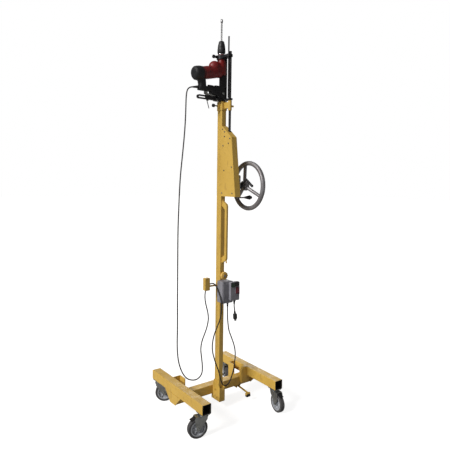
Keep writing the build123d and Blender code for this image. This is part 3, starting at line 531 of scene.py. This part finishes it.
def add_clamp_hardware():
    """Nuts, washer and strap of the slotted arm, the cradle's bolts and the pin that hangs."""
    knuckle_x, pin_x = -126, -118
    bm = bmesh.new()
    lathe(bm, [(0.0155, 0), (0.0155, 0.002), (0.0135, 0.0021), (0.0135, 0.0035)],
          mm(ARM_BOLT_X, DRILL_Y, ARM_TOP), Z)
    hexagon(bm, (ARM_BOLT_X, DRILL_Y, ARM_TOP + 3.5), Z, 19, 10)
    hexagon(bm, (knuckle_x, DRILL_Y, ARM_TOP + 8), Z, 24, 19)
    lathe(bm, [(0.0045, 0), (0.0045, 0.05)], mm(knuckle_x, DRILL_Y, ARM_TOP - 2), Z, 16)
    slab(bm, mm(-108, -6, ARM_TOP + 3.5), mm(-58, 16, ARM_TOP + 8))
    hexagon(bm, (ARM_BOLT_X, DRILL_Y, ARM_TOP - 25), -Z, 14, 7)
    hexagon(bm, (-2, -14, 2137), -Y, 15, 7)
    hexagon(bm, (-2, DRILL_Y, 2101), Z, 19, 4)
    make("clamp_bolts", bm, "zinc", "carriage", ("cradle_bolts",), bevel=0.0004, smooth=False)
    bm = bmesh.new()
    bar(bm, mm(pin_x, DRILL_Y, 2090), mm(-100, DRILL_Y, 2036), 0.0026)
    ball(bm, mm(pin_x, DRILL_Y, 2090), (0.0045, 0.0045, 0.0045), 12)
    make("hanging_pin", bm, "dark_steel", "carriage")


def add_chuck():
    """Ribbed chuck sleeve with three jaws, and the steel collar under it."""
    def ribs(angle, height):
        deep = 0.022 if 0.004 < height < 0.032 else 0.0
        return 1 - deep * (0.5 + 0.5 * cos(18 * angle)) ** 2

    bm = bmesh.new()
    lathe(bm, [(0.020, 0), (0.0245, 0.002), (0.0258, 0.005), (0.0262, 0.018), (0.0256, 0.030),
               (0.0246, 0.034), (0.0242, 0.0355), (0.0246, 0.037), (0.0238, 0.046),
               (0.0205, 0.062), (0.0175, 0.0745), (0.016, 0.0775), (0.0095, 0.078)],
          drill_axis(2393), Z, 144, ribs)
    for k in range(3):
        angle = 2 * pi * k / 3 + 0.5
        side = Vector((cos(angle), sin(angle), 0)) * 0.0085
        bar(bm, drill_axis(2466) + side, drill_axis(2474) + side * 0.8, 0.0032, 10)
    make("chuck_body", bm, "black_plastic", "spindle", ("chuck",))
    bm = bmesh.new()
    lathe(bm, [(0.0215, 0), (0.0225, 0.001), (0.0225, 0.007), (0.0212, 0.008)],
          drill_axis(2384.6), Z, 48)
    make("chuck_collar", bm, "polished_steel", "spindle")


def add_bit():
    """Stem with two helical flutes, plain shank and a carbide head."""
    foot, top, pitch, radius = 2462, 2590, 30, 0.0052
    sides, steps = 28, 150
    bm = bmesh.new()
    rings = []
    for step in range(steps + 1):
        z = foot + (top - foot) * step / steps
        blend = min(1, max(0, (z - foot - 14) / 8)) * min(1, max(0, (top - z) / 3))
        turn = 2 * pi * (z - foot) / pitch
        ring = []
        for index in range(sides):
            angle = 2 * pi * index / sides
            flute = max(0.0, cos(2 * (angle - turn))) ** 1.4
            out = Vector((cos(angle), sin(angle), 0))
            ring.append(bm.verts.new(drill_axis(z) + out * radius * (1 - 0.34 * flute * blend)))
        rings.append(ring)
    bridge(bm, rings)
    cap_ends(bm, rings)
    lathe(bm, [(0.0062, 0), (0.0073, 0.002), (0.0075, 0.016), (0.0058, 0.0185), (0.0016, 0.023)],
          drill_axis(2588), Z, 28)
    slab(bm, mm(-13, 4, 2594), mm(1, 6, 2611))
    make("bit", bm, "bit_steel", "spindle", ("drill_bit",), bevel=0.0002)


# ---------------------------------------------------------------- mast, welds and feed
def weld_bead(bm, points, radius, seed):
    """Row of overlapping ripples along a joint."""
    for a, b in zip(points, points[1:]):
        a, b = mm(*a), mm(*b)
        count = max(2, int((b - a).length / (radius * 1.1)))
        for index in range(count + 1):
            spot = a.lerp(b, index / count)
            swell = 1 + 0.22 * noise.noise(Vector((index * 0.9, seed, spot.z * 50)))
            ball(bm, spot, (radius * swell,) * 3, 8)


def add_welds():
    """Beads at the rails, gussets, saddles and stop plate, and at the grab handle's feet."""
    inner = RAIL_X - RAIL_HALF
    outer = RAIL_X + RAIL_HALF - 6.35
    bm = bmesh.new()
    seed = 0
    for side in (-1, 1):
        end, face, gusset = side * (outer - 1), side * (inner - 0.5), side * (inner - 52)
        for z in (85.65, 149.15):
            weld_bead(bm, [(end, 38, z), (end, 101.5, z)], 0.0026, seed)
            seed += 1
        weld_bead(bm, [(side * inner, 38, 149.5), (side * inner, 101.5, 149.5)], 0.0026, seed)
        weld_bead(bm, [(face, 163.6, 156), (face, 163.6, 216)], 0.0024, seed + 1)
        weld_bead(bm, [(gusset, 101.8, 100), (gusset, 101.8, 148)], 0.0024, seed + 2)
        weld_bead(bm, [(side * 22.6, 38, 92), (side * 22.6, 38, 148)], 0.0022, seed + 3)
        seed += 4
    for z in (112, 148):
        weld_bead(bm, [(220, 37.5, z), (262, 37.5, z)], 0.0024, seed + z)
    make("base_welds", bm, "weld", "base")
    bm = bmesh.new()
    for z in (1021, 1057, 1405, 1441):
        weld_bead(bm, [(-7.5, -25.6, z), (7.5, -25.6, z)], 0.0022, z)
    for side in (-1, 1):
        for low, high in ((1022, 1056), (1406, 1440)):
            weld_bead(bm, [(side * 7.4, -25.6, low), (side * 7.4, -25.6, high)], 0.0022, low)
    make("mast_welds", bm, "weld", "mast_slider")


def add_rail_bore_shade():
    """Painted shade: a dark sheet inside the open rails, where the bores lie in shadow."""
    half, front, back = 28.2, -288.5, 352
    bm = bmesh.new()
    for side in (-1, 1):
        corners = [(side * RAIL_X + a, RAIL_Z + b)
                   for a, b in ((-half, -half), (half, -half), (half, half), (-half, half))]
        bridge(bm, [[bm.verts.new(mm(x, y, z)) for x, z in corners] for y in (front, back)])
    # painted shade: near-black sheet on the rails' inner walls
    piece = make("rail_bore_shade", bm, "inner_black", "base", smooth=False)
    shell = piece.modifiers.new("shell", "SOLIDIFY")
    shell.thickness = 0.0004
    shell.offset = 0


def add_knob_details():
    """Ring, finger lobes and centre bolt of the mast lock knob."""
    lobes, reach = 10, 0.0242
    low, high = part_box("mast_lock_knob")
    z = (low[2] + high[2]) / 2
    bm = bmesh.new()
    front = Vector((0, low[1], z))
    hollow_lathe(bm, [(0.0125, 0), (0.0125, 0.0025), (0.0155, 0.0025), (0.0165, 0)], front, -Y, 48)
    for k in range(lobes):
        angle = 2 * pi * k / lobes
        spot = Vector((reach * cos(angle), low[1] + 0.010, z + reach * sin(angle)))
        bar(bm, spot - Y * 0.0085, spot + Y * 0.0085, 0.0034, 12)
    make("knob_lobes", bm, "knob_plastic", "mast_knob")
    bm = bmesh.new()
    hexagon(bm, (0, low[1] * 1000 + 0.2, z * 1000), -Y, 13, 5)
    make("knob_bolt", bm, "zinc", "mast_knob", bevel=0.0003, smooth=False)


def add_rail_end_shade():
    """Painted shade: black strips round the rails' front mouths, which stay open, stand in for the shade on the
    end faces.
    """
    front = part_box("side_rails")[0][1] * 1000
    rim, wall = 31.6, 27.6
    strips = (((-rim, -rim), (rim, -wall)), ((-rim, wall), (rim, rim)),
              ((-rim, -wall), (-wall, wall)), ((wall, -wall), (rim, wall)))
    bm = bmesh.new()
    for side in (-1, 1):
        for low, high in strips:
            slab(bm, mm(side * RAIL_X + low[0], front - 1.6, RAIL_Z + low[1]),
                 mm(side * RAIL_X + high[0], front + 0.4, RAIL_Z + high[1]))
    # painted shade: dark strips on the rail ends, where the end faces lie in shadow
    make("rail_end_shade", bm, "black_rubber", "base", smooth=False)


def add_handwheel_details():
    """Nut and washer at the end of the handwheel's shaft."""
    bm = bmesh.new()
    hexagon(bm, (104, WHEEL_Y, WHEEL_Z), X, 17, 8)
    lathe(bm, [(0.011, 0), (0.0125, 0.001), (0.0125, 0.0025)], mm(103.5, WHEEL_Y, WHEEL_Z), X, 32)
    make("hub_nut", bm, "zinc", "hand_drive", bevel=0.0004, smooth=False)


def add_caster_details():
    """Ring and six ribs on both sides of each wheel centre, and two moulding lines on its tread."""
    inside, outside = 0.014, 0.0415
    for corner in CORNERS:
        low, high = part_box("hub_" + corner)
        centre = (Vector(low) + Vector(high)) / 2
        joint = next(j for j in frame["joints"] if j["name"] == "roll_" + corner)
        axis = Vector(joint["axis"]).normalized()
        bm = bmesh.new()
        for side in (-1, 1):
            place = centre + axis * side * 0.0042
            turn = basis(axis * side)
            hollow_lathe(bm, [(0.0285, 0), (0.0285, 0.0022), (0.0305, 0.0022), (0.0305, 0)],
                         place, axis * side, 48)
            for k in range(6):
                angle = 2 * pi * k / 6
                start, end = (place + turn @ Vector((cos(angle) * r, sin(angle) * r, 0.003))
                              for r in (inside, outside))
                bar(bm, start, end, 0.0026, 8)
        make("hub_ribs_" + corner, bm, "wheel_centre", "wheel_" + corner)
        bm = bmesh.new()
        for offset in (-0.0085, 0.0085):
            hollow_lathe(bm, [(0.0626, -0.0008), (0.0637, 0), (0.0626, 0.0008)],
                         centre + axis * offset, axis, 72)
        make("tread_lines_" + corner, bm, "grey_rubber", "wheel_" + corner)


def plates(bm, front, back, corners):
    """Flat strips between two depths, each from its low to its high corner in (x, z)."""
    for low, high in corners:
        slab(bm, mm(low[0], front, low[1]), mm(high[0], back, high[1]))
    return bm


def add_box_details():
    """Ribs and gasket of the switch box's cover, and the frames of its two switches."""
    ribs = [((x, 772), (x + 3.6, 892)) for x in (-33, -25, -17, -9, -1)]
    make("cover_ribs", plates(bmesh.new(), -91.4, -88.8, ribs), "grey_box", "base", bevel=0.0006)
    gasket = (((-39.4, 757.6), (44.4, 758.4)), ((-39.4, 904.6), (44.4, 905.4)),
              ((-39.4, 758.4), (-38.6, 904.6)), ((43.6, 758.4), (44.4, 904.6)))
    make("cover_gasket", plates(bmesh.new(), -84.7, -83.3, gasket), "inner_black", "base")
    surround = (((13, 896), (79, 900)), ((13, 870), (17.6, 896)), ((40.4, 870), (79, 896)))
    make("start_surround", plates(bmesh.new(), -115.6, -112.8, surround), "black_plastic", "base",
         bevel=0.0008)
    rim = (((43.5, 815), (47.5, 868)), ((76.5, 815), (80.5, 868)), ((47.5, 815), (76.5, 818.5)))
    make("paddle_frame", plates(bmesh.new(), -117.5, -112.8, rim), "grey_box", "base",
         bevel=0.0008)


def add_glands():
    """Ribbed strain reliefs that taper down to the cords, each under a hexagonal nut."""
    nut, rings = 7, 5
    bm = bmesh.new()
    for x, y, top, end in ((23, -60, 758, 724), (48, -101, 775, 748)):
        hexagon(bm, (x, y, top - nut), Z, 17, nut)
        length = (top - nut - end) / 1000
        profile = []
        for k in range(rings):
            radius = 0.0052 + 0.0018 * k / (rings - 1)
            h = length * k / rings
            profile += [(radius, h), (radius, h + length * 0.62 / rings),
                        (radius - 0.0011, h + length * 0.64 / rings),
                        (radius - 0.0011, h + length * 0.98 / rings)]
        profile.append((0.0072, length))
        lathe(bm, profile, mm(x, y, end), Z, 24)
    make("gland_bodies", bm, "black_plastic", "base", ("cord_glands",))


add_motor()
add_handle()
add_clamp_hardware()
add_chuck()
add_bit()
add_welds()
add_rail_bore_shade()
add_rail_end_shade()
add_knob_details()
add_handwheel_details()
add_caster_details()
add_box_details()
add_glands()


# ---------------------------------------------------------------- cords and floor
UPPER_CORD = [
    (-224, 5, 2156), (-244, 5, 2153.2), (-263, 5, 2137), (-271, 5, 2107), (-273.5, 5, 2060),
    (-275, 6, 1970), (-283, 5, 1860), (-297, 4, 1735), (-310.5, 6, 1612), (-319, 5, 1490),
    (-324.5, 4, 1370), (-328, 6, 1250), (-329, 5, 1140),
]
LOWER_CORD = [
    (-329, 5, 1140), (-330, 4, 1030), (-329, 6, 915), (-331, 4, 805), (-329, 6, 700),
    (-330, 4, 609), (-331, 6, 535), (-330, 5, 464), (-321, 5, 390), (-296, 5, 318),
    (-259, 5, 264), (-212, 5, 241), (-173, 5, 238), (-138, 5, 263), (-132, 5, 308),
    (-140, 5, 378), (-150, 5, 441), (-140, 5, 499), (-105, 5, 567), (-86, 6, 633),
    (-90, 8, 682), (-104, 11, 735), (-111, 16, 779), (-106, 22, 821), (-92, 26, 859),
    (-66, 12, 883), (-54, -10, 883), (-50, -32, 863), (-49, -62, 823), (-49, -80, 795),
    (-49, -90, 765), (-46, -86, 715), (-45, -76, 665), (-60, -68, 612), (-78, -65, 576),
    (-95, -65, 532), (-104, -65, 480), (-100, -65, 432), (-87, -65, 388), (-68, -65, 337),
    (-48, -65, 290), (-35, -65, 246), (-26, -66, 208), (-5, -68, 174), (34, -65, 174),
    (54, -65, 204), (67, -65, 234), (79, -65, 267), (89, -65, 322), (93, -65, 371),
    (89, -65, 415), (75, -65, 461), (54, -65, 511), (35, -65, 553), (26, -65, 599),
    (23, -60, 661), (23, -60, 724),
]
SUPPLY_CORD = [(48, -101, 748), (48, -101, 731.5), (51.6, -101, 715.3), (53.3, -101, 698.9)]
CORD_R = 0.004


def spline_curve(name, points, bevel):
    """NURBS curve with the route's points as its control points."""
    data = bpy.data.curves.new(name, "CURVE")
    data.dimensions = "3D"
    data.resolution_u = 8
    data.bevel_depth = bevel
    data.bevel_resolution = 5
    data.use_fill_caps = True
    spline = data.splines.new("NURBS")
    spline.points.add(len(points) - 1)
    for point, (x, y, z) in zip(spline.points, points):
        point.co = (x / 1000, y / 1000, z / 1000, 1)
    spline.order_u = 3
    spline.use_endpoint_u = True
    curve = bpy.data.objects.new(name, data)
    scene.collection.objects.link(curve)
    return curve


def centre_line(name, points):
    """The NURBS spline's own line, and its length."""
    curve = spline_curve(name, points, 0.0)
    graph = bpy.context.evaluated_depsgraph_get()
    line = bpy.data.meshes.new_from_object(curve.evaluated_get(graph))
    path = [vert.co.copy() for vert in line.vertices]
    bpy.data.meshes.remove(line)
    bpy.data.objects.remove(curve)
    length = sum((b - a).length for a, b in zip(path, path[1:]))
    return path, length


def tube_mesh(name, path, radius, sides=16):
    """Round tube along a path, with rings that don't twist."""
    bm = bmesh.new()
    rings = []
    across = None
    for index, here in enumerate(path):
        before = path[max(index - 1, 0)]
        after = path[min(index + 1, len(path) - 1)]
        along = (after - before).normalized()
        if across is None:
            across = along.orthogonal().normalized()
        across = (across - along * across.dot(along)).normalized()
        other = along.cross(across)
        rings.append([
            bm.verts.new(here + across * radius * cos(2 * pi * k / sides)
                         + other * radius * sin(2 * pi * k / sides))
            for k in range(sides)
        ])
    bridge(bm, rings)
    cap_ends(bm, rings)
    return make(name, bm, "cord_jacket", None)


def crossing_cord(name, points):
    """A cord that hangs between two bodies."""
    path, length = centre_line(name + "_line", points)
    cord = tube_mesh(name, path, CORD_R)
    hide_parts(name)
    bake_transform(cord)


def add_cords():
    crossing_cord("drill_cord_upper", UPPER_CORD)
    crossing_cord("drill_cord_lower", LOWER_CORD)
    length = centre_line("supply_line", SUPPLY_CORD)[1]
    supply = spline_curve("supply_cord_run", SUPPLY_CORD, CORD_R)
    supply.data.materials.append(MATERIALS["cord_jacket"])
    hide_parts("supply_cord")
    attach(supply, "base")


def add_floor():
    """Pale floor that the camera sees as white, while little light returns from it."""
    bm = bmesh.new()
    bmesh.ops.create_grid(bm, x_segments=8, y_segments=8, size=40)
    mesh = bpy.data.meshes.new("floor")
    bm.to_mesh(mesh)
    bm.free()
    floor = bpy.data.objects.new("floor", mesh)
    scene.collection.objects.link(floor)
    s = Surface("floor", (0.42, 0.42, 0.42), 0.9)
    s.tint(s.field(0.8, 3), (0.40, 0.40, 0.40), 0.5)
    s.bump(s.field(60, 3), 0.0005, 0.1)
    seen = s.nodes.new("ShaderNodeLightPath").outputs["Is Camera Ray"]
    glow = s.nodes.new("ShaderNodeMath")
    glow.operation = "MULTIPLY"
    glow.inputs[1].default_value = 0.84
    s.links.new(seen, glow.inputs[0])
    s.links.new(glow.outputs[0], s.shader.inputs["Emission Strength"])
    s.shader.inputs["Emission Color"].default_value = (1, 1, 1, 1)
    s.shader.inputs["Specular IOR Level"].default_value = 0.1
    floor.data.materials.append(s.done())


add_cords()
add_floor()
